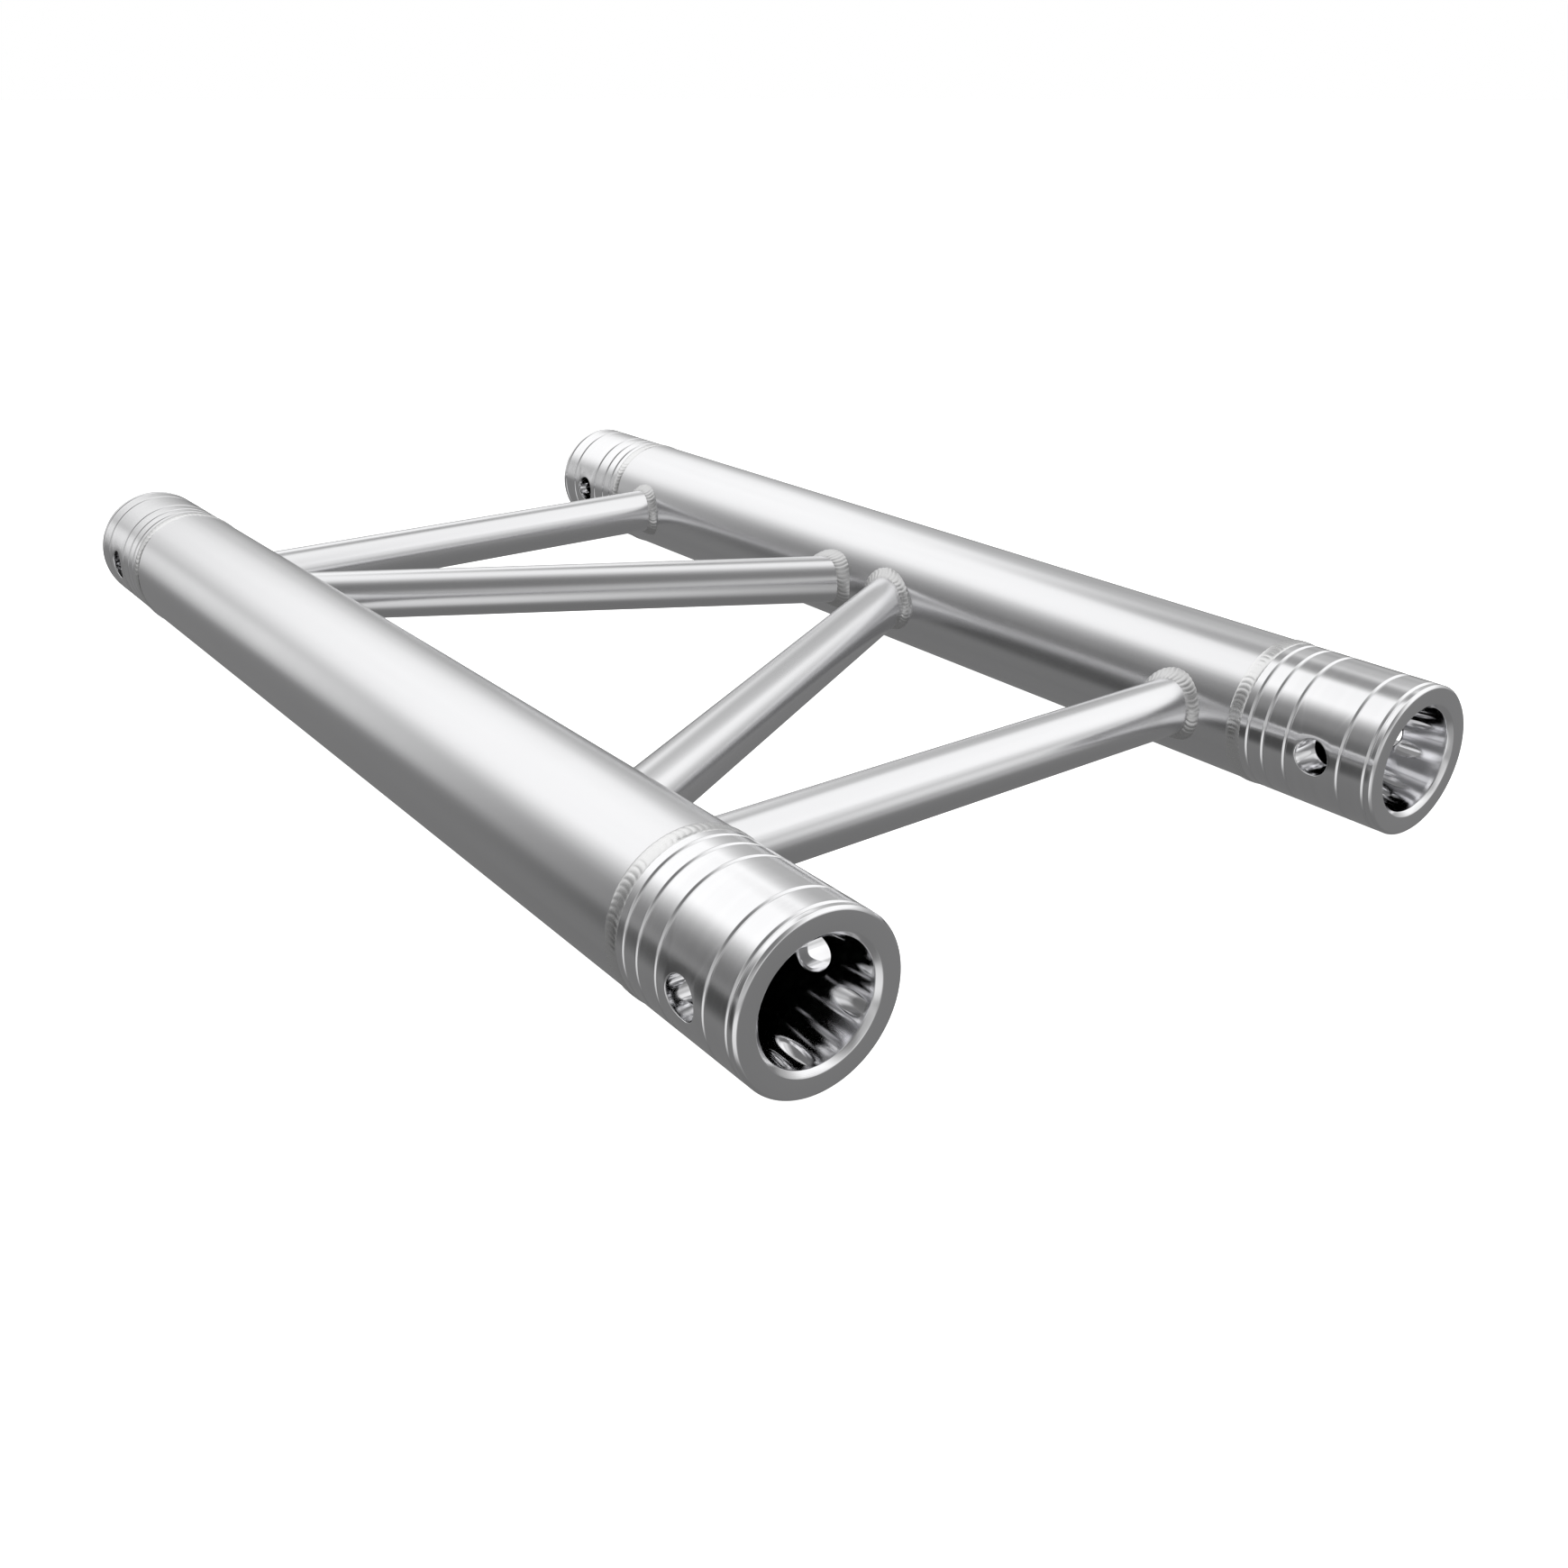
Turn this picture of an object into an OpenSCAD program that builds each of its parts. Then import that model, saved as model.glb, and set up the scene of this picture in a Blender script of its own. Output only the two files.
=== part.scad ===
// Ladder truss section: two round chord tubes joined by welded braces, with a
// conical coupler socket and a cross pin bore in each chord end.
// Millimetres. X runs along the chords, Y from the front chord to the rear one, Z up.
// The origin is the centre of the section.

/* [Section] */
// Length from end face to end face
section_length = 500; // [460:10:700]
// Distance between the two chord axes
chord_spacing = 240; // [220:5:280]

/* [Chord tubes] */
// Outside diameter, which the end sleeves share
chord_d = 50; // [49:0.5:51]
// Wall thickness of the chord tubes
chord_wall = 2; // [1.5:0.5:3]

/* [Braces] */
// Outside diameter of all four braces
brace_d = 20; // [18:1:22]
// Wall thickness of the braces
brace_wall = 2; // [1.5:0.5:3]
// Distance from an end face to the axis of the nearest cross brace
cross_brace_inset = 80; // [76:1:86]
// Gap along the front chord's axis between a cross brace and the nearest diagonal
diagonal_foot_gap = 25; // [24:1:40]
// Distance along the rear chord's axis from mid-length to each diagonal
diagonal_head_offset = 5; // [4:1:20]

/* [End sleeves] */
// Length of the sleeve outside the chord tube
sleeve_body_length = 53; // [52:1:56]
// Length of the shank that plugs into the chord tube
shank_length = 25; // [15:1:40]
// Diameter of the conical socket at the end face
socket_mouth_d = 35; // [34:0.5:38]
// Diameter of the conical socket at its narrow end, and of the bore behind it
socket_end_d = 25; // [22:0.5:28]
// Depth of the conical socket
socket_depth = 41; // [38:1:46]
// Diameter of the cross bore for the coupler pin
pin_bore_d = 12; // [10:0.5:14]
// Distance from the end face to the axis of the pin bore
pin_bore_inset = 22.4; // [21:0.1:24]

/* [Welds] */
// Leg length of the fillet welds round the brace ends
fillet_leg = 3; // [2:0.5:5]
// Width of the weld round each sleeve joint
ring_weld_width = 6; // [4:0.5:7]
// Height of that weld above the tube surface
ring_weld_crown = 0.4; // [0.2:0.1:0.8]

/* [Hidden] */
$fn = 96;

// Signs of the chords along Y and of the ends along X
front = -1;
rear = 1;
left = -1;
right = 1;

chord_r = chord_d / 2;
brace_r = brace_d / 2;
tube_bore_r = chord_r - chord_wall;
tube_half_length = section_length / 2 - sleeve_body_length;
cross_brace_x = section_length / 2 - cross_brace_inset;
diagonal_foot_x = cross_brace_x - diagonal_foot_gap;

shank_clearance = 0.05;  // radial, inside the tube
shank_lead = 1;          // lead-in chamfer on the shank
face_chamfer = 0.8;      // outer edge of the end face
mouth_chamfer = 1.3;     // edge of the socket mouth
socket_taper = (socket_mouth_d - socket_end_d) / 2 / socket_depth;
past_face = 2;           // how far a drill goes beyond the wall it cuts

// Turned grooves round the sleeve, as distances from the end face. Two of them
// flank the pin bore. Each is a shallow V with a flat floor.
groove_places = [3, 12.3, 32.4, 40.8, 47];
groove_width = 1.3;
groove_floor = 0.6;
groove_depth = 0.5;

// Leg of the bevel on each side of a sleeve joint, which the ring weld fills and caps
weld_prep = min(0.75 * chord_wall, 0.4 * ring_weld_width);
crown_spans = 8;

// A fillet weld's section is a quarter round in even steps. Each step is a chord's own
// cylinder, a little larger, where it meets the brace's own cylinder, a little larger.
fillet_steps = 4;
weld_stub = chord_spacing / 2;  // length of brace that each weld is built on

// Where each brace's axis meets the axis of the front chord and of the rear one
function foot(x) = [x, front * chord_spacing / 2];
function head(x) = [x, rear * chord_spacing / 2];

// Turns a child that stands along +Z so that it runs from point a towards point b
module along(a, b) {
    translate([a.x, a.y, 0])
        rotate([0, 90, atan2(b.y - a.y, b.x - a.x)])
            children();
}

// Puts a child that stands along +Z, inwards from an end face at Z = 0, at one chord end
module at_chord_end(chord, end) {
    translate([end * section_length / 2, chord * chord_spacing / 2, 0])
        rotate([0, -90 * end, 0])
            children();
}

// A rod of any radius on a chord's axis, over the full length of the section
module chord_rod(chord, r) {
    translate([0, chord * chord_spacing / 2, 0])
        rotate([0, 90, 0])
            cylinder(r = r, h = section_length, center = true);
}

// Plain tube with its outer end edges bevelled for the sleeve welds
module chord_tube(chord) {
    bevel_r = chord_r - weld_prep;
    bevel_z = tube_half_length - weld_prep;
    color("silver")
        translate([0, chord * chord_spacing / 2, 0])
            rotate([0, 90, 0])
                rotate_extrude()
                    polygon([
                        [tube_bore_r, -tube_half_length],
                        [bevel_r, -tube_half_length],
                        [chord_r, -bevel_z],
                        [chord_r, bevel_z],
                        [bevel_r, tube_half_length],
                        [tube_bore_r, tube_half_length]
                    ]);
}

// The four points of one turned groove, at a distance from the end face
function groove(place) = [
    [chord_r, place - groove_width / 2],
    [chord_r - groove_depth, place - groove_floor / 2],
    [chord_r - groove_depth, place + groove_floor / 2],
    [chord_r, place + groove_width / 2]
];

// Outline of the turned sleeve, radius against distance from the end face
function sleeve_outline() =
    let (
        shank_r = tube_bore_r - shank_clearance,
        shank_end = sleeve_body_length + shank_length,
        mouth_r = socket_mouth_d / 2
    )
    concat(
        [[mouth_r + mouth_chamfer, 0], [chord_r - face_chamfer, 0], [chord_r, face_chamfer]],
        [for (place = groove_places, point = groove(place)) point],
        [
            [chord_r, sleeve_body_length - weld_prep],
            [chord_r - weld_prep, sleeve_body_length],
            [shank_r, sleeve_body_length],
            [shank_r, shank_end - shank_lead],
            [shank_r - shank_lead, shank_end],
            [socket_end_d / 2, shank_end],
            [socket_end_d / 2, socket_depth],
            [mouth_r - socket_taper * mouth_chamfer, mouth_chamfer]
        ]
    );

// Turned socket for a conical coupler, with the cross bore for its pin
module end_sleeve(chord, end) {
    color("gainsboro")
        at_chord_end(chord, end)
            difference() {
                rotate_extrude()
                    polygon(sleeve_outline());
                translate([0, 0, pin_bore_inset])
                    rotate([90, 0, 0])
                        cylinder(d = pin_bore_d, h = chord_d + 2 * past_face, center = true);
            }
}

// Weld metal in the bevelled joint between a chord tube and its sleeve
module sleeve_weld(chord, end) {
    crown = [
        for (i = [0:crown_spans])
            let (t = 2 * i / crown_spans - 1)
            [chord_r + ring_weld_crown * (1 - t * t), sleeve_body_length - t * ring_weld_width / 2]
    ];
    root = [
        [chord_r, sleeve_body_length - weld_prep],
        [chord_r - weld_prep, sleeve_body_length],
        [chord_r, sleeve_body_length + weld_prep]
    ];
    color("lightgray")
        at_chord_end(chord, end)
            rotate_extrude()
                polygon(concat(crown, root));
}

// Tube between two chords, its ends coped to sit on them
module brace(a, b) {
    color("silver")
        difference() {
            along(a, b)
                difference() {
                    cylinder(r = brace_r, h = norm(b - a));
                    cylinder(r = brace_r - brace_wall, h = norm(b - a));
                }
            chord_rod(front, chord_r);
            chord_rod(rear, chord_r);
        }
}

// Fillet weld round the end of the brace from a to b, on the chord that a is on
module fillet_weld(a, b) {
    chord = sign(a.y);
    color("lightgray")
        difference() {
            for (i = [1:fillet_steps])
                let (angle = i * 90 / (fillet_steps + 1))
                intersection() {
                    chord_rod(chord, chord_r + fillet_leg * sin(angle));
                    along(a, b)
                        cylinder(r = brace_r + fillet_leg * cos(angle), h = weld_stub);
                }
            chord_rod(chord, chord_r);
            along(a, b)
                cylinder(r = brace_r, h = weld_stub);
        }
}

module cross_brace(end) {
    brace(foot(end * cross_brace_x), head(end * cross_brace_x));
}

module diagonal_brace(end) {
    brace(foot(end * diagonal_foot_x), head(end * diagonal_head_offset));
}

module cross_brace_weld(chord, end) {
    here = [end * cross_brace_x, chord * chord_spacing / 2];
    fillet_weld(here, [here.x, -here.y]);
}

module diagonal_brace_weld(chord, end) {
    at_foot = foot(end * diagonal_foot_x);
    at_head = head(end * diagonal_head_offset);
    if (chord == front)
        fillet_weld(at_foot, at_head);
    else
        fillet_weld(at_head, at_foot);
}

chord_tube(front);  // chord_tube_front
chord_tube(rear);  // chord_tube_rear
end_sleeve(front, left);  // end_sleeve_front_left
end_sleeve(front, right);  // end_sleeve_front_right
end_sleeve(rear, left);  // end_sleeve_rear_left
end_sleeve(rear, right);  // end_sleeve_rear_right
cross_brace(left);  // cross_brace_left
cross_brace(right);  // cross_brace_right
diagonal_brace(left);  // diagonal_brace_left
diagonal_brace(right);  // diagonal_brace_right
sleeve_weld(front, left);  // sleeve_weld_front_left
sleeve_weld(front, right);  // sleeve_weld_front_right
sleeve_weld(rear, left);  // sleeve_weld_rear_left
sleeve_weld(rear, right);  // sleeve_weld_rear_right
cross_brace_weld(front, left);  // cross_brace_weld_front_left
cross_brace_weld(front, right);  // cross_brace_weld_front_right
cross_brace_weld(rear, left);  // cross_brace_weld_rear_left
cross_brace_weld(rear, right);  // cross_brace_weld_rear_right
diagonal_brace_weld(front, left);  // diagonal_brace_weld_front_left
diagonal_brace_weld(front, right);  // diagonal_brace_weld_front_right
diagonal_brace_weld(rear, left);  // diagonal_brace_weld_rear_left
diagonal_brace_weld(rear, right);  // diagonal_brace_weld_rear_right
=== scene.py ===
"""Looks of the ladder truss section: drawn tubes, turned sleeves and rippled weld beads,
all in aluminium, on a plain pale floor under a soft studio sky.

Metres, in the frame of the CAD model: +X along the chords, +Y from the front chord to the
rear one, +Z up. Each piece is a closed mesh that stands for one CAD node.
"""
import math

import bmesh
import bpy
import numpy as np
from mathutils import Matrix, Vector


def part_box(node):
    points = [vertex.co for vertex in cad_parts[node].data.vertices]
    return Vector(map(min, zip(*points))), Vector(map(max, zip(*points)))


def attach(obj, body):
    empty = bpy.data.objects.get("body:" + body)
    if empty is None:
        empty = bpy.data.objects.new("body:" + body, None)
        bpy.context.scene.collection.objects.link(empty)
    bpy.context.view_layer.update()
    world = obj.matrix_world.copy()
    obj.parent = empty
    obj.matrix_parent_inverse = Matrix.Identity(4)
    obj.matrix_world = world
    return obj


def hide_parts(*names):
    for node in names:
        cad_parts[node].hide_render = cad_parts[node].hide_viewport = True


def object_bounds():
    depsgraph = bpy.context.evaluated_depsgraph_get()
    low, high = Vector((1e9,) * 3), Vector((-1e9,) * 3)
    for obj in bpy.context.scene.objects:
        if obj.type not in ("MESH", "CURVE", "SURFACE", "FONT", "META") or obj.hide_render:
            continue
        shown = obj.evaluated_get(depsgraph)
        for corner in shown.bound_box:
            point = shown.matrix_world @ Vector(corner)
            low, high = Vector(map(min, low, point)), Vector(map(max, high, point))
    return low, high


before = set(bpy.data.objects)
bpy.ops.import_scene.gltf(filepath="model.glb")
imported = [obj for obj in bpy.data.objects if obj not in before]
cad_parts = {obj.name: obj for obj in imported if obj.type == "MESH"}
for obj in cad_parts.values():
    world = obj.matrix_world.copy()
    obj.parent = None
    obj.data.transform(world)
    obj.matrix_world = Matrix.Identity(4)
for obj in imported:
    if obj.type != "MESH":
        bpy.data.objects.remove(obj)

CAD_LOW, CAD_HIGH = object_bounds()
MM = 0.001

# --- Sizes read from the frame ---------------------------------------------------------------
_tube_low, _tube_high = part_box("chord_tube_front")
_rear_low, _rear_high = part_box("chord_tube_rear")
_sleeve_low, _sleeve_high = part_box("end_sleeve_front_right")
_cross_low, _cross_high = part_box("cross_brace_right")

CHORD_R = (_tube_high.z - _tube_low.z) / 2
CHORD_Y = (_rear_low.y + _rear_high.y) / 2
TUBE_HALF = _tube_high.x
END_X = _sleeve_high.x
SHANK_END = END_X - _sleeve_low.x
BODY_LENGTH = END_X - TUBE_HALF
BRACE_R = (_cross_high.x - _cross_low.x) / 2
CROSS_X = (_cross_low.x + _cross_high.x) / 2

# --- Sizes that the frame's boxes don't give -------------------------------------------------
CHORD_WALL = 2 * MM
BRACE_WALL = 2 * MM
FOOT_X = CROSS_X - 25 * MM        # a diagonal's axis on the front chord's axis
HEAD_X = 5 * MM                   # and on the rear chord's axis
WELD_PREP = 1.5 * MM              # bevel on each side of a sleeve joint, under the ring weld
SHANK_CLEARANCE = 0.05 * MM
SHANK_R = CHORD_R - CHORD_WALL - SHANK_CLEARANCE
SHANK_LEAD = 1 * MM
MOUTH_R = 17.5 * MM
MOUTH_CHAMFER = 1.3 * MM
FACE_CHAMFER = 0.8 * MM
SOCKET_END_R = 12.5 * MM
SOCKET_DEPTH = 41 * MM
PIN_R = 6 * MM
PIN_X = 22.4 * MM
GROOVES = [3 * MM, 12.3 * MM, 32.4 * MM, 40.8 * MM, 47 * MM]
GROOVE_HALF = 0.75 * MM
GROOVE_DEPTH = 0.5 * MM
GUARD = 0.1 * MM                  # a narrow row beside a groove keeps the rest's shading even
EDGE = 0.4 * MM                   # radius of the small rounded edges
MOUTH_EDGE = 0.25 * MM            # and of those at the end face
FILLET_LEG = 3 * MM
RING_HALF = 3 * MM
RING_CROWN = 0.4 * MM
RIPPLE = 1.9 * MM                 # pitch of the ripples along a weld

SEGMENTS = 128                    # round a chord
PATCH = SEGMENTS // 4             # of those, how many span the patch round a pin bore
BAND_ROWS = 16                    # along the patch
BAND = (13.4 * MM, 31.4 * MM)     # the stretch between two grooves that holds the pin bore

CHORDS = {"front": -1, "rear": 1}
ENDS = {"left": -1, "right": 1}


# --- Mesh building ---------------------------------------------------------------------------
class Skin:
    """Collects grids of points, and joins them into one closed mesh."""

    def __init__(self):
        self.points = []
        self.faces = []

    def grid(self, rows):
        """Adds the quads of an (m, n, 3) array of points."""
        rows = np.asarray(rows, float)
        m, n = rows.shape[:2]
        start = sum(len(p) for p in self.points)
        self.points.append(rows.reshape(-1, 3))
        i, j = np.meshgrid(np.arange(m - 1), np.arange(n - 1), indexing="ij")
        a = (start + i * n + j).ravel()
        self.faces.append(np.stack([a, a + 1, a + n + 1, a + n], axis=1))

    def piece(self, name, node, material, matrix=Matrix.Identity(4), sharp=40):
        """Makes the object, and has it stand for a CAD node."""
        mesh = bpy.data.meshes.new(name)
        mesh.from_pydata(np.concatenate(self.points).tolist(), [],
                         np.concatenate(self.faces).tolist())
        tidy = bmesh.new()
        tidy.from_mesh(mesh)
        bmesh.ops.remove_doubles(tidy, verts=tidy.verts, dist=2e-7)
        bmesh.ops.recalc_face_normals(tidy, faces=tidy.faces)
        tidy.to_mesh(mesh)
        tidy.free()
        mesh.polygons.foreach_set("use_smooth", np.ones(len(mesh.polygons), bool))
        mesh.set_sharp_from_angle(angle=math.radians(sharp))
        mesh.materials.append(material)
        made = bpy.data.objects.new(name, mesh)
        bpy.context.scene.collection.objects.link(made)
        made.matrix_world = matrix
        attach(made, "root")
        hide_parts(node)
        return made


def round_x(x, r, angle):
    """A point at radius r from the X axis. The angle runs from +Y towards +Z."""
    x, r, angle = np.broadcast_arrays(x, r, angle)
    return np.stack([x, r * np.cos(angle), r * np.sin(angle)], axis=-1)


def lathe(outline, low=0.0, high=2 * math.pi, spans=SEGMENTS):
    """Turns an outline of (x, r) points about the X axis."""
    outline = np.asarray(outline, float)
    angle = np.linspace(low, high, spans + 1)
    return round_x(outline[:, None, 0], outline[:, None, 1], angle[None, :])


def line(a, b, spans):
    """Evenly spaced points from a to b, without b."""
    a, b = np.asarray(a, float), np.asarray(b, float)
    return [a + (b - a) * i / spans for i in range(spans)]


def rounded(points, radius, spans=4):
    """An outline of straight runs with each inner corner rounded."""
    points = [np.asarray(p, float) for p in points]
    out = [points[0]]
    for before, corner, after in zip(points, points[1:], points[2:]):
        back, on = np.linalg.norm(before - corner), np.linalg.norm(after - corner)
        reach = min(radius, back / 2.2, on / 2.2)
        start = corner + (before - corner) / back * reach
        end = corner + (after - corner) / on * reach
        for i in range(spans + 1):
            t = i / spans
            out.append((1 - t) ** 2 * start + 2 * t * (1 - t) * corner + t * t * end)
    return out + [points[-1]]


# --- Sleeve, in its own frame: the end face at x = 0, x inwards, the pin bore along Y ---------
def groove(place, spans=14):
    """A soft-edged turned groove in the outer surface, with a guard row on each side."""
    out = [(place - GROOVE_HALF - GUARD, CHORD_R)]
    for i in range(spans + 1):
        u = 2 * i / spans - 1
        depth = GROOVE_DEPTH * (0.5 + 0.5 * math.cos(math.pi * u)) ** 0.8
        out.append((place + u * GROOVE_HALF, CHORD_R - depth))
    return out + [(place + GROOVE_HALF + GUARD, CHORD_R)]


def cone_r(x):
    """Radius of the conical socket at a depth."""
    return MOUTH_R - (MOUTH_R - SOCKET_END_R) * np.asarray(x) / SOCKET_DEPTH


def body_r(x):
    """Radius of the sleeve's outer surface at a depth, between two grooves."""
    return np.full(np.shape(x), CHORD_R)


def bore_patch(surface_r, side, into):
    """The skin round one mouth of the pin bore: from the patch's edge to the bore's wall.

    surface_r gives the radius of the surface that the bore opens in. side is +1 or -1 for the
    bore's two ends along Y. into is -1 where the wall lies inwards of the surface, and +1
    where it lies outwards. Returns the rings, and the last ring is on the bore's wall.
    """
    middle, reach = (BAND[0] + BAND[1]) / 2, (BAND[1] - BAND[0]) / 2
    half = math.pi * PATCH / SEGMENTS
    u = np.linspace(-1, 1, BAND_ROWS + 1)
    v = np.linspace(-1, 1, PATCH + 1)
    # once round the patch's edge, in steps that match the grids beside it
    edge = np.concatenate([
        np.stack([u, -np.ones_like(u)], 1)[:-1],
        np.stack([np.ones_like(v), v], 1)[:-1],
        np.stack([-u, np.ones_like(u)], 1)[:-1],
        np.stack([-np.ones_like(v), -v], 1),
    ])
    turn = np.arctan2(edge[:, 1], edge[:, 0])
    edge_x, edge_angle = middle + reach * edge[:, 0], half * edge[:, 1]

    def on_surface(rho):
        x, z = PIN_X + rho * np.cos(turn), rho * np.sin(turn)
        return x, np.arcsin(z / surface_r(x))

    start_x, start_angle = on_surface(PIN_R + EDGE)
    rings = []
    for t in (1 - np.linspace(0, 1, 7) ** 1.3):
        x = start_x + (edge_x - start_x) * t
        angle = start_angle + (edge_angle - start_angle) * t
        rings.append(round_x(x, surface_r(x), angle))
    for t in np.linspace(0, math.pi / 2, 6)[1:]:
        rho = PIN_R + EDGE * (1 - math.sin(t))
        x, z = PIN_X + rho * np.cos(turn), rho * np.sin(turn)
        y = np.sqrt(surface_r(x) ** 2 - z ** 2) + into * EDGE * (1 - math.cos(t))
        rings.append(np.stack([x, y, z], axis=-1))
    rings = np.array(rings)
    rings[:, :, 1] *= side
    return rings


def bored_band(skin, surface_r, into):
    """The stretch of a turned surface that the pin bore opens in. Returns the two wall rings."""
    x = np.linspace(BAND[0], BAND[1], BAND_ROWS + 1)
    half = math.pi * PATCH / SEGMENTS
    plain = SEGMENTS // 2 - PATCH
    for middle in (0, math.pi):
        skin.grid(lathe(np.stack([x, surface_r(x)], 1),
                        middle + half, middle + math.pi - half, plain))
    walls = []
    for side in (1, -1):
        rings = bore_patch(surface_r, side, into)
        skin.grid(rings)
        walls.append(rings[-1])
    return walls


def sleeve(name, node, matrix, material):
    """The turned sleeve, from the end face to the end of its shank."""
    skin = Skin()
    before_band = BAND[0] - 1 * MM
    mouth = rounded([
        (before_band, float(cone_r(before_band))),
        (MOUTH_CHAMFER, float(cone_r(MOUTH_CHAMFER))),
        (0, MOUTH_R + MOUTH_CHAMFER),
        (0, CHORD_R - FACE_CHAMFER),
        (FACE_CHAMFER, CHORD_R),
        (GROOVES[0] - GROOVE_HALF - GUARD, CHORD_R),
    ], MOUTH_EDGE)
    near = ([(BAND[0], float(cone_r(BAND[0])))] + line(mouth[0], mouth[1], 8) + mouth[1:]
            + groove(GROOVES[0])[1:] + groove(GROOVES[1]) + [(BAND[0], CHORD_R)])
    skin.grid(lathe(near))

    far = [(BAND[1], CHORD_R)] + [p for place in GROOVES[2:] for p in groove(place)]
    far += [
        (BODY_LENGTH - WELD_PREP, CHORD_R),
        (BODY_LENGTH, CHORD_R - WELD_PREP),
        (BODY_LENGTH, SHANK_R),
        (SHANK_END - SHANK_LEAD, SHANK_R),
        (SHANK_END, SHANK_R - SHANK_LEAD),
    ]
    far += rounded([
        (SHANK_END, SHANK_R - 1.2 * SHANK_LEAD),
        (SHANK_END, SOCKET_END_R),
        (SOCKET_DEPTH, SOCKET_END_R),
        (BAND[1], float(cone_r(BAND[1]))),
    ], EDGE)
    skin.grid(lathe(far))

    outer = bored_band(skin, body_r, -1)
    inner = bored_band(skin, cone_r, 1)
    for start, end in zip(outer, inner):
        t = np.linspace(0, 1, 6)[:, None, None]
        skin.grid(start + (end - start) * t)
    return skin.piece(name, node, material, matrix)


# --- Tubes, in their own frame: the axis along X ----------------------------------------------
def chord_tube(name, node, matrix, material):
    """Plain tube with its outer end edges bevelled for the ring welds."""
    bore, root = CHORD_R - CHORD_WALL, CHORD_R - WELD_PREP
    full = TUBE_HALF - WELD_PREP
    outline = [(-TUBE_HALF, root)]
    outline += line((-full, CHORD_R), (full, CHORD_R), 48)
    outline += [(full, CHORD_R), (TUBE_HALF, root)]
    outline += line((TUBE_HALF, bore), (-TUBE_HALF, bore), 12)
    outline += [(-TUBE_HALF, bore), (-TUBE_HALF, root)]
    skin = Skin()
    skin.grid(lathe(outline))
    return skin.piece(name, node, material, matrix)


class Brace:
    """A brace between two points on the chords' axes, and where its skin meets each chord."""

    def __init__(self, foot_x, head_x):
        self.foot = Vector((foot_x, -CHORD_Y, 0))
        self.head = Vector((head_x, CHORD_Y, 0))
        along = (self.head - self.foot).normalized()
        self.length = (self.head - self.foot).length
        side = along.cross(Vector((0, 0, 1)))
        self.matrix = Matrix((along, side, along.cross(side))).transposed().to_4x4()
        self.matrix.translation = self.foot
        self.slope = along.y          # travel along Y per travel along the brace
        self.lean = side.y            # and per step sideways

    def meets(self, end, rho, angle, chord_r):
        """Distance along the brace at which a line on its skin reaches a chord's cylinder.

        end is -1 for the front chord and +1 for the rear one. The line is at radius rho from
        the brace's axis, at an angle from the brace's own Y towards its Z.
        """
        across, up = rho * np.cos(angle), rho * np.sin(angle)
        reach = np.sqrt(chord_r ** 2 - up ** 2)
        y = end * (CHORD_Y - reach)
        return (y + CHORD_Y - across * self.lean) / self.slope


def brace_tube(name, node, brace, material, spans=72):
    """Tube with each end coped to sit on its chord."""
    angle = np.linspace(0, 2 * math.pi, spans + 1)
    rows = []
    for r, order in ((BRACE_R, 1), (BRACE_R - BRACE_WALL, -1)):
        low = brace.meets(-1, r, angle, CHORD_R)
        high = brace.meets(1, r, angle, CHORD_R)
        for t in np.linspace(0, 1, 25)[::order]:
            rows.append(round_x(low + (high - low) * t, r, angle))
    rows.append(rows[0])
    skin = Skin()
    skin.grid(np.array(rows))
    return skin.piece(name, node, material, brace.matrix)


# --- Welds -----------------------------------------------------------------------------------
def wander(s, seed, size, waves=5):
    """A slow random wave that closes on itself over s from 0 to 1."""
    chance = np.random.default_rng(seed)
    out = np.zeros_like(s)
    for k in range(1, waves + 1):
        out += chance.uniform(-1, 1) / k * np.sin(2 * math.pi * (k * s + chance.uniform()))
    return size * out


def ripples(s, t, count, seed):
    """Height of the scale-like ripples of a weld, from 0 to 1.

    s runs along the weld from 0 to 1 and t across it from -1 to 1. The ripples bow forwards
    in the middle, and no two are quite alike.
    """
    phase = count * (s + wander(s, seed + 7, 0.25 / count)) - 0.55 * (1 - t * t)
    which = np.floor(phase)
    height = 0.85 + 0.15 * np.sin(2 * math.pi * 0.37 * (which % count))
    return height * np.sin(math.pi * (phase - which)) ** 0.6


def ring_weld(name, node, matrix, seed, material):
    """The bead round a sleeve joint, in the sleeve's frame."""
    count = round(2 * math.pi * CHORD_R / RIPPLE)
    s = np.linspace(0, 1, count * 7 + 1)[None, :]
    t = np.linspace(-1, 1, 15)[:, None]
    angle = 2 * math.pi * s[0]
    half = RING_HALF * (0.94 + wander(s, seed, 0.03) + 0.03 * ripples(s, np.sign(t), count, seed))
    x = BODY_LENGTH + t * half + wander(s, seed + 1, 0.12 * MM)
    arch = np.sqrt(np.clip(1 - t * t, 0, 1))
    crown = RING_CROWN * arch * (0.72 + 0.28 * ripples(s, t, count, seed))
    toe = CHORD_R - 0.06 * MM              # the bead's edges lie a little under the surface
    root = CHORD_R - 0.9 * MM
    rows = [round_x(x[i], toe + crown[i], angle) for i in range(len(t))]
    rows.append(round_x(BODY_LENGTH, root, angle))
    rows.append(rows[0])
    skin = Skin()
    skin.grid(np.array(rows))
    return skin.piece(name, node, material, matrix, sharp=80)


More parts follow.
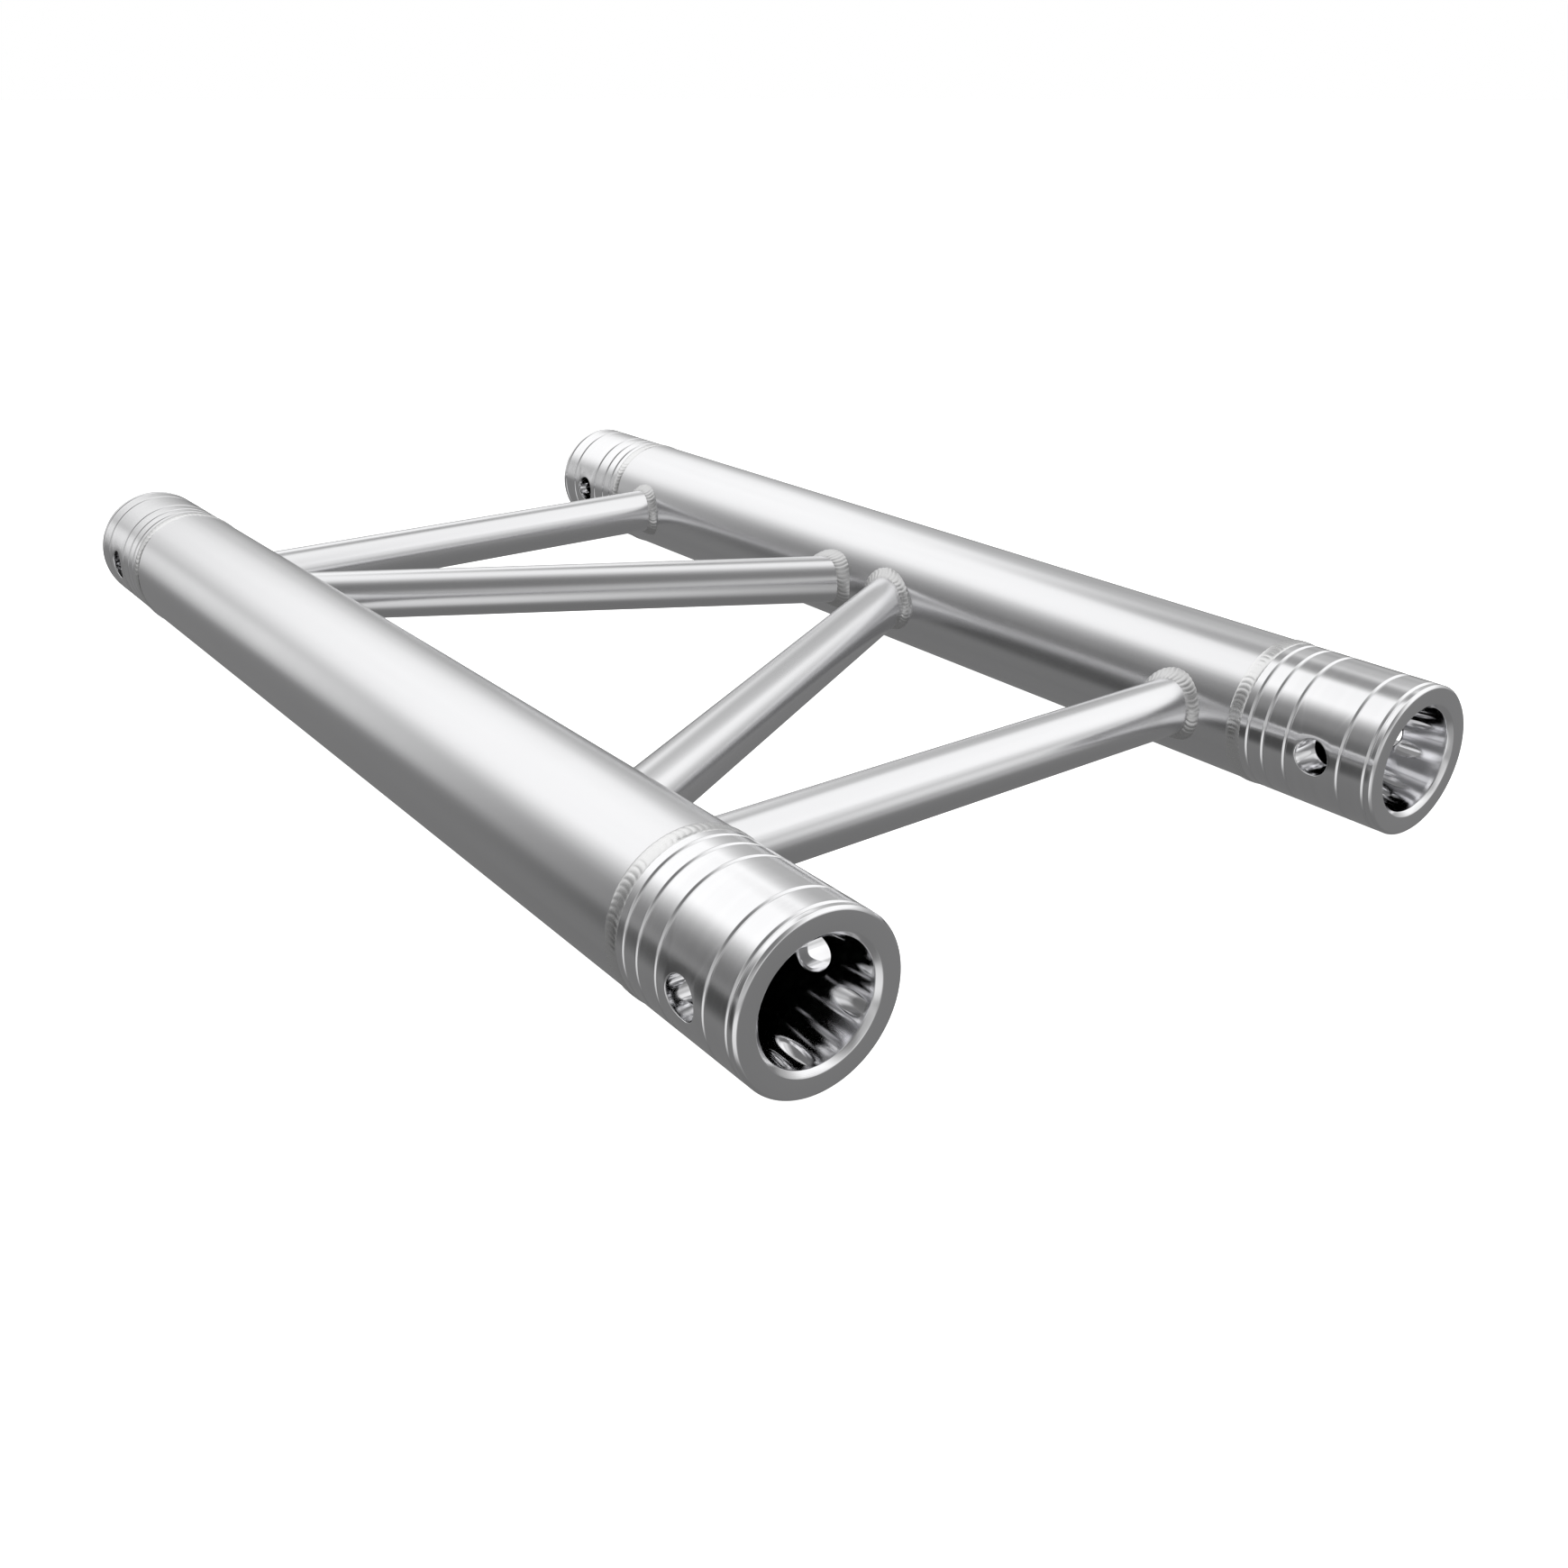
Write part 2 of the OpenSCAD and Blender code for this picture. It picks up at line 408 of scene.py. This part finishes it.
def fillet_weld(name, node, brace, end, seed, material):
    """The bead round the end of a brace, in the brace's frame."""
    count = round(2 * math.pi * (BRACE_R + FILLET_LEG / 2) / RIPPLE)
    s = np.linspace(0, 1, count * 7 + 1)
    angle = 2 * math.pi * s
    sink = 0.25 * MM                       # how far the bead's toes reach into the tubes
    rows = []
    for t in np.linspace(-1, 1, 13):
        slope = (t + 1) * math.pi / 4      # 0 on the chord, a quarter turn on the brace
        leg = FILLET_LEG * (0.9 + wander(s, seed, 0.035) + 0.10 * ripples(s, t, count, seed))
        bulge = 1 - 0.17 * np.sin(2 * slope)
        rho = BRACE_R - sink + (leg + sink) * math.cos(slope) * bulge
        chord_r = CHORD_R - sink + (leg + sink) * math.sin(slope) * bulge
        rows.append(round_x(brace.meets(end, rho, angle, chord_r), rho, angle))
    rho, chord_r = BRACE_R - sink, CHORD_R - sink
    rows.append(round_x(brace.meets(end, rho, angle, chord_r), rho, angle))
    rows.append(rows[0])
    skin = Skin()
    skin.grid(np.array(rows))
    return skin.piece(name, node, material, brace.matrix, sharp=80)


# --- Materials -------------------------------------------------------------------------------
class Nodes:
    """A short way to write a node tree."""

    def __init__(self, tree):
        self.tree = tree
        tree.nodes.clear()

    def add(self, kind, *inputs, **settings):
        node = self.tree.nodes.new(kind)
        for key, value in settings.items():
            setattr(node, key, value)
        for i, value in enumerate(inputs):
            self.set(node, i, value)
        return node

    def set(self, node, key, value):
        if value is None:
            return
        if isinstance(value, bpy.types.NodeSocket):
            self.tree.links.new(value, node.inputs[key])
        else:
            node.inputs[key].default_value = value

    def math(self, operation, *inputs):
        return self.add("ShaderNodeMath", *inputs, operation=operation).outputs[0]

    def vector(self, operation, *inputs):
        node = self.add("ShaderNodeVectorMath", *inputs, operation=operation)
        return node.outputs["Value" if operation in ("LENGTH", "DOT_PRODUCT") else "Vector"]

    def smooth(self, value, low, high, out_low=0.0, out_high=1.0):
        return self.add("ShaderNodeMapRange", value, low, high, out_low, out_high,
                        interpolation_type="SMOOTHSTEP").outputs[0]

    def noise(self, where, scale, detail=3.0, rough=0.5):
        node = self.add("ShaderNodeTexNoise")
        self.set(node, "Vector", where)
        self.set(node, "Scale", scale)
        self.set(node, "Detail", detail)
        self.set(node, "Roughness", rough)
        return node.outputs["Fac"]

    def stretch(self, where, x, y, z):
        return self.vector("MULTIPLY", where, (x, y, z))


def metal(name, colour, build):
    """An aluminium material. build adds its detail, and returns the shader's inputs."""
    material = bpy.data.materials.new(name)
    material.use_nodes = True
    material.diffuse_color = (*colour, 1)
    nodes = Nodes(material.node_tree)
    where = nodes.add("ShaderNodeTexCoord").outputs["Object"]
    shader = nodes.add("ShaderNodeBsdfPrincipled")
    nodes.set(shader, "Metallic", 1.0)
    for key, value in build(nodes, where, colour).items():
        nodes.set(shader, key, value)
    output = nodes.add("ShaderNodeOutputMaterial")
    nodes.set(output, "Surface", shader.outputs[0])
    return material


def tinted(nodes, colour, factor, low, high):
    """The colour, made darker or lighter between two shares as factor goes from 0 to 1."""
    share = nodes.add("ShaderNodeMapRange", factor, 0.0, 1.0, low, high).outputs[0]
    return nodes.vector("SCALE", colour, None, None, share)


def drawn_tube(nodes, where, colour):
    """Extruded and drawn tube: die lines along X and a faint mottle."""
    lines = nodes.noise(nodes.stretch(where, 6, 1400, 1400), 1.0, 2.0)
    broad = nodes.noise(nodes.stretch(where, 3, 160, 160), 1.0, 3.0)
    mottle = nodes.noise(where, 26.0, 5.0, 0.6)
    rough = nodes.math("MULTIPLY_ADD", broad, 0.08, 0.15)
    rough = nodes.math("MULTIPLY_ADD", mottle, 0.07, rough)
    height = nodes.math("MULTIPLY_ADD", lines, 0.6, nodes.math("MULTIPLY", broad, 1.4))
    bump = nodes.add("ShaderNodeBump")
    nodes.set(bump, "Strength", 0.16)
    nodes.set(bump, "Distance", 0.00004)
    nodes.set(bump, "Height", height)
    return {"Base Color": tinted(nodes, colour, broad, 0.93, 1.04), "Roughness": rough,
            "Normal": bump.outputs[0]}


# The socket and the pin bore against the sleeve's outside: colour, lifted a little as painted
# light that brightens the recess, and the roughness and tool marks of reaming.
SOCKET_PAINTED_LIGHT = 1.05
REAMED_ROUGH = 0.4
REAMED_MARKS = 0.2


def turned(nodes, where, colour):
    """Turned on a lathe: fine tool marks round the axis, a little brighter than the tube.

    The socket and the pin bore, past the chamfer at the mouth, are smoothed by reaming, and their
    colour is lifted a little as painted light that brightens the recess.
    """
    x = nodes.add("ShaderNodeSeparateXYZ", where).outputs["X"]
    radius = nodes.vector("LENGTH", nodes.stretch(where, 0, 1, 1))
    reamed_and_painted_light = nodes.math("MULTIPLY", nodes.smooth(x, MOUTH_CHAMFER, MOUTH_CHAMFER + 2 * MM),
                        nodes.smooth(radius, MOUTH_R + 1.5 * MM, CHORD_R - 1.5 * MM, 1.0, 0.0))

    def inside(value):
        """1 on the outside, and the value in the socket and the pin bore."""
        return nodes.math("MULTIPLY_ADD", reamed_and_painted_light, value - 1, 1.0)

    feed = nodes.math("SINE", nodes.math("MULTIPLY", x, 2 * math.pi / (0.22 * MM)))
    marks = nodes.noise(nodes.stretch(where, 2600, 12, 12), 1.0, 3.0)
    broad = nodes.noise(nodes.stretch(where, 300, 8, 8), 1.0, 3.0)
    smear = nodes.noise(where, 90.0, 4.0, 0.6)
    rough = nodes.math("MULTIPLY_ADD", broad, 0.06, 0.06)
    rough = nodes.math("MULTIPLY_ADD", smear, 0.05, rough)
    rough = nodes.math("MULTIPLY", rough, inside(REAMED_ROUGH))
    height = nodes.math("MULTIPLY_ADD", feed, 0.35, marks)
    bump = nodes.add("ShaderNodeBump")
    nodes.set(bump, "Strength", nodes.math("MULTIPLY", inside(REAMED_MARKS), 0.14))
    nodes.set(bump, "Distance", 0.00003)
    nodes.set(bump, "Height", height)
    # In the socket and the pin bore the colour is lifted a little: painted light that brightens
    # the recess.
    paint = nodes.vector("SCALE", tinted(nodes, colour, broad, 0.94, 1.03), None, None,
                         inside(SOCKET_PAINTED_LIGHT))
    return {"Base Color": paint, "Roughness": rough, "Normal": bump.outputs[0]}


def welded(nodes, where, colour):
    """As-welded bead: duller than the tube, with a fine frosted grain."""
    grain = nodes.noise(where, 1500.0, 4.0, 0.6)
    patch = nodes.noise(where, 160.0, 3.0)
    rough = nodes.math("MULTIPLY_ADD", grain, 0.16, nodes.math("MULTIPLY_ADD", patch, 0.12, 0.24))
    bump = nodes.add("ShaderNodeBump")
    nodes.set(bump, "Strength", 0.3)
    nodes.set(bump, "Distance", 0.00006)
    nodes.set(bump, "Height", grain)
    return {"Base Color": tinted(nodes, colour, patch, 0.88, 1.06), "Roughness": rough,
            "Normal": bump.outputs[0]}


def dressed(nodes, where, colour):
    """A bead brushed down with a wire wheel: nearly as bright as the tube, with fine scratches."""
    brushed = nodes.noise(nodes.stretch(where, 1800, 60, 60), 1.0, 4.0)
    patch = nodes.noise(where, 120.0, 3.0)
    rough = nodes.math("MULTIPLY_ADD", patch, 0.10, 0.16)
    rough = nodes.math("MULTIPLY_ADD", brushed, 0.10, rough)
    bump = nodes.add("ShaderNodeBump")
    nodes.set(bump, "Strength", 0.25)
    nodes.set(bump, "Distance", 0.00004)
    nodes.set(bump, "Height", brushed)
    return {"Base Color": tinted(nodes, colour, patch, 0.93, 1.06), "Roughness": rough,
            "Normal": bump.outputs[0]}


# --- Stage: sky, floor and camera -------------------------------------------------------------
def heading(azimuth, elevation):
    """A direction from its angle from +X towards +Y and its height, in degrees."""
    a, e = math.radians(azimuth), math.radians(elevation)
    return Vector((math.cos(a) * math.cos(e), math.sin(a) * math.cos(e), math.sin(e)))


# A patch of the studio sky: where it is, how wide its even middle and its soft edge are in
# degrees, and what it multiplies the sky by.
SKY_PATCHES = [
    (heading(127, 27), 6, 22, 0.48),     # a grey wall behind
    (heading(144, 52), 1, 16, 0.30),     # and its top edge
    (heading(237, 20), 1, 34, 0.23),     # a dark flag to the left of the camera
    (heading(237, -4), 6, 9, 3.0),       # a bright strip under it
    (heading(231, -15), 7, 17, 0.30),    # and the shade under that
    (heading(203, 2), 2, 12, 2.0),       # a small light at the end of the flag
    (heading(319, 44), 6, 54, 0.18),     # the dark behind the camera
    (heading(310, -30), 6, 29, 2.3),     # light bounced up below it
    (heading(330, -15), 30, 52, 1.8),    # and more, wider, to its right
    (heading(31, 11), 22, 26, 0.81),     # a dim wall to the right
    (heading(41, -3), 1, 21, 2.5),       # with a bright foot
]
# Brightness of the studio sky against the sine of the height above the horizon.
SKY_RAMP = [(-1.0, 0.18), (-0.6, 0.195), (-0.35, 0.215), (-0.12, 0.22), (-0.04, 0.33),
            (0.04, 0.43), (0.12, 0.49), (0.25, 0.69), (0.4, 1.09), (0.6, 1.17), (1.0, 1.03)]


def studio_sky():
    world = bpy.data.worlds.new("studio_sky")
    bpy.context.scene.world = world
    world.use_nodes = True
    nodes = Nodes(world.node_tree)
    way = nodes.add("ShaderNodeTexCoord").outputs["Generated"]
    up = nodes.add("ShaderNodeSeparateXYZ", way).outputs["Z"]
    ramp = nodes.add("ShaderNodeValToRGB", nodes.math("MULTIPLY_ADD", up, 0.5, 0.5))
    stops = ramp.color_ramp.elements
    ramp.color_ramp.interpolation = "LINEAR"
    while len(stops) < len(SKY_RAMP):
        stops.new(0.5)
    for stop, (height, value) in zip(stops, SKY_RAMP):
        stop.position = height * 0.5 + 0.5
        stop.color = (value, value, value, 1)
    light = ramp.outputs["Color"]
    for middle, inner, outer, gain in SKY_PATCHES:
        near = nodes.vector("DOT_PRODUCT", way, tuple(middle))
        edge, core = math.cos(math.radians(outer)), math.cos(math.radians(inner))
        share = nodes.smooth(near, edge, core, 1.0, gain)
        light = nodes.vector("SCALE", light, None, None, share)
    lit = nodes.add("ShaderNodeBackground", light, 1.0)
    seen = nodes.add("ShaderNodeBackground", (1, 1, 1, 1), 1.0)
    camera_ray = nodes.add("ShaderNodeLightPath").outputs["Is Camera Ray"]
    mixed = nodes.add("ShaderNodeMixShader", camera_ray, lit.outputs[0], seen.outputs[0])
    nodes.add("ShaderNodeOutputWorld", mixed.outputs[0])


def pale_floor():
    """A wide plain floor under the truss, a touch overexposed as in a product photograph."""
    material = bpy.data.materials.new("pale_floor")
    material.use_nodes = True
    nodes = Nodes(material.node_tree)
    where = nodes.add("ShaderNodeTexCoord").outputs["Object"]
    mottle = nodes.noise(where, 4.0)
    shade = nodes.add("ShaderNodeMapRange", mottle, 0.0, 1.0, 0.80, 0.84).outputs[0]
    paint = nodes.add("ShaderNodeCombineColor", shade, shade, shade).outputs[0]
    shader = nodes.add("ShaderNodeBsdfPrincipled")
    nodes.set(shader, "Base Color", paint)
    nodes.set(shader, "Roughness", 0.9)
    nodes.set(shader, "Emission Color", (1, 1, 1, 1))
    nodes.set(shader, "Emission Strength", 1.0)
    nodes.add("ShaderNodeOutputMaterial", shader.outputs[0])
    mesh = bpy.data.meshes.new("floor")
    shape = bmesh.new()
    bmesh.ops.create_circle(shape, cap_ends=True, segments=96, radius=30)
    shape.to_mesh(mesh)
    shape.free()
    mesh.materials.append(material)
    floor = bpy.data.objects.new("floor", mesh)
    floor.location.z = CAD_LOW.z
    floor.visible_glossy = False
    bpy.context.scene.collection.objects.link(floor)


def camera():
    """The camera stands to the right of the front chord and looks down along it."""
    azimuth, elevation = math.radians(53.142), math.radians(24.015)
    back = Vector((math.sin(azimuth) * math.cos(elevation),
                   -math.cos(azimuth) * math.cos(elevation),
                   math.sin(elevation)))
    data = bpy.data.cameras.new("camera")
    data.lens = 35.94
    data.sensor_width = 36
    data.clip_start, data.clip_end = 0.01, 100
    made = bpy.data.objects.new("camera", data)
    made.location = (0.4937, -0.3136, 0.1950)
    made.rotation_mode = "QUATERNION"
    made.rotation_quaternion = (-back).to_track_quat("-Z", "Y")
    bpy.context.scene.collection.objects.link(made)
    bpy.context.scene.camera = made


# --- The truss -------------------------------------------------------------------------------
tube_metal = metal("drawn_aluminium", (0.83, 0.83, 0.84), drawn_tube)
sleeve_metal = metal("turned_aluminium", (0.87, 0.87, 0.88), turned)
ring_metal = metal("ring_weld_aluminium", (0.80, 0.80, 0.80), dressed)
weld_metal = metal("weld_aluminium", (0.68, 0.68, 0.68), welded)

for chord, side in CHORDS.items():
    chord_place = Matrix.Translation((0, side * CHORD_Y, 0))
    chord_tube(f"chord_{chord}", f"chord_tube_{chord}", chord_place, tube_metal)
    for end, hand in ENDS.items():
        turn = Matrix.Rotation(math.pi if hand > 0 else 0, 4, "Z")
        place = Matrix.Translation((hand * END_X, side * CHORD_Y, 0)) @ turn
        sleeve(f"sleeve_{chord}_{end}", f"end_sleeve_{chord}_{end}", place, sleeve_metal)
        ring_weld(f"ring_weld_{chord}_{end}", f"sleeve_weld_{chord}_{end}", place,
                  11 + 3 * side + hand, ring_metal)

for kind, foot_x, head_x in (("cross", CROSS_X, CROSS_X), ("diagonal", FOOT_X, HEAD_X)):
    for end, hand in ENDS.items():
        brace = Brace(hand * foot_x, hand * head_x)
        brace_tube(f"{kind}_{end}", f"{kind}_brace_{end}", brace, tube_metal)
        for chord, side in CHORDS.items():
            seed = 40 + round(1000 * foot_x) + 5 * side + hand
            fillet_weld(f"{kind}_weld_{chord}_{end}", f"{kind}_brace_weld_{chord}_{end}",
                        brace, side, seed, weld_metal)

studio_sky()
pale_floor()
camera()
bpy.context.scene.view_settings.view_transform = "Standard"
